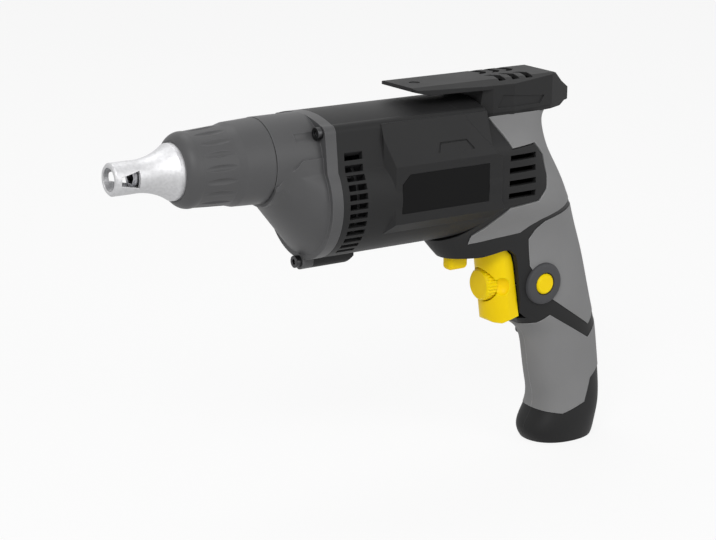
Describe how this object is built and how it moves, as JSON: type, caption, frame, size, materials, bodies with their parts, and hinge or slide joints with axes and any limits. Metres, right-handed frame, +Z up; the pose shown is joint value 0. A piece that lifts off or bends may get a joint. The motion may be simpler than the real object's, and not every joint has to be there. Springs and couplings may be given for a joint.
{
  "type": "drywall screwdriver",
  "caption": "Corded pistol-grip drywall screwdriver with depth-setting nose, geared motor, trigger with speed dial, direction lever, lock button and belt hook.",
  "frame": {"origin": "centre of the nose bore at the nose's front face", "axes": "+X from the nose towards the rear along the spindle, +Y towards the user's right, +Z up"},
  "size_m": [0.3115, 0.0644, 0.2152],
  "materials": {
    "charcoal_plastic": "fine spark texture",
    "grey_rubber": "matt soft touch",
    "yellow_plastic": "satin",
    "cast_nose": "satin die casting",
    "painted_case": "fine matt paint",
    "steel": "plain",
    "copper": "varnished copper",
    "core_steel": "laminated",
    "dark_plastic": "matt",
    "label_black": "smooth",
    "black_rubber": "matt",
    "bronze": "plain"
  },
  "bodies": {
    "housing": {"detent_ring": "black_rubber", "gear_housing": "painted_case", "flange_screws": "steel", "gear_plate": "cast_nose", "front_bearing": "steel", "rear_bearing": "steel", "bearing_boot": "black_rubber", "spindle_bush": "bronze", "spindle_seal": "black_rubber", "clutch_spring": "steel", "field_core": "core_steel", "field_coils": "copper", "fan_baffle": "dark_plastic", "brush_holders": "bronze", "carbon_brushes": "dark_plastic", "brush_springs": "steel", "motor_housing": "charcoal_plastic", "label_plate": "label_black", "handle_left": "charcoal_plastic", "handle_right": "charcoal_plastic", "rubber_grip_left": "grey_rubber", "rubber_grip_right": "grey_rubber", "handle_screws": "steel", "belt_hook": "charcoal_plastic", "hook_screws": "steel", "trigger_spring": "steel", "lever_pin": "steel", "button_spring": "steel", "switch_body": "dark_plastic", "capacitor": "label_black", "cord_clamp": "dark_plastic", "clamp_screws": "steel", "cord_gland": "black_rubber"},
    "armature": {"armature_shaft": "steel", "armature_core": "core_steel", "armature_windings": "copper", "commutator": "copper", "cooling_fan": "dark_plastic"},
    "gear": {"drive_gear": "steel"},
    "thrust": {"thrust_washer": "steel"},
    "spindle": {"spindle": "steel", "bit_holder": "steel"},
    "collar": {"depth_collar": "charcoal_plastic"},
    "nose": {"nose_cone": "cast_nose"},
    "trigger": {"trigger": "yellow_plastic"},
    "dial": {"speed_dial": "yellow_plastic"},
    "lever": {"reverse_lever": "yellow_plastic"},
    "button": {"lock_button": "yellow_plastic"}
  },
  "joints": [
    {"name": "armature_spin", "type": "hinge", "parent": "housing", "child": "armature", "pos_m": [0.16, 0, -0.0228], "axis": [1, 0, 0], "continuous": true},
    {"name": "gear_spin", "type": "hinge", "parent": "housing", "child": "gear", "pos_m": [0.1, 0, 0], "axis": [1, 0, 0], "continuous": true},
    {"name": "spindle_push", "type": "slide", "parent": "housing", "child": "thrust", "axis": [1, 0, 0], "range_m": [0, 0.004], "stiffness_N_per_m": 2500, "deforming": ["clutch_spring"]},
    {"name": "spindle_spin", "type": "hinge", "parent": "thrust", "child": "spindle", "pos_m": [0.06, 0, 0], "axis": [1, 0, 0], "continuous": true},
    {"name": "collar_turn", "type": "hinge", "parent": "housing", "child": "collar", "pos_m": [0.06, 0, 0], "axis": [1, 0, 0], "range_deg": [-540, 540]},
    {"name": "nose_slide", "type": "slide", "parent": "housing", "child": "nose", "axis": [1, 0, 0], "range_m": [-0.003, 0.003]},
    {"name": "trigger_press", "type": "slide", "parent": "housing", "child": "trigger", "axis": [1, 0, 0], "range_m": [0, 0.007], "stiffness_N_per_m": 600, "springref_m": -0.003, "deforming": ["trigger_spring"]},
    {"name": "speed_dial_turn", "type": "hinge", "parent": "trigger", "child": "dial", "pos_m": [0.228, 0, -0.087], "axis": [1, 0, 0], "range_deg": [-150, 150]},
    {"name": "reverse_lever_swing", "type": "hinge", "parent": "housing", "child": "lever", "pos_m": [0.228, 0, -0.0626], "axis": [0, 0, 1], "range_deg": [-9, 9]},
    {"name": "lock_button_press", "type": "slide", "parent": "housing", "child": "button", "axis": [0, 1, 0], "range_m": [0, 0.004], "stiffness_N_per_m": 500, "springref_m": -0.001, "deforming": ["button_spring"]}
  ],
  "couplings": [
    {"joint": "gear_spin", "follows": "armature_spin", "ratio": -0.1875},
    {"joint": "spindle_spin", "follows": "armature_spin", "ratio": -0.1875},
    {"joint": "collar_turn", "follows": "nose_slide", "rad_per_m": 3141.5}
  ]
}
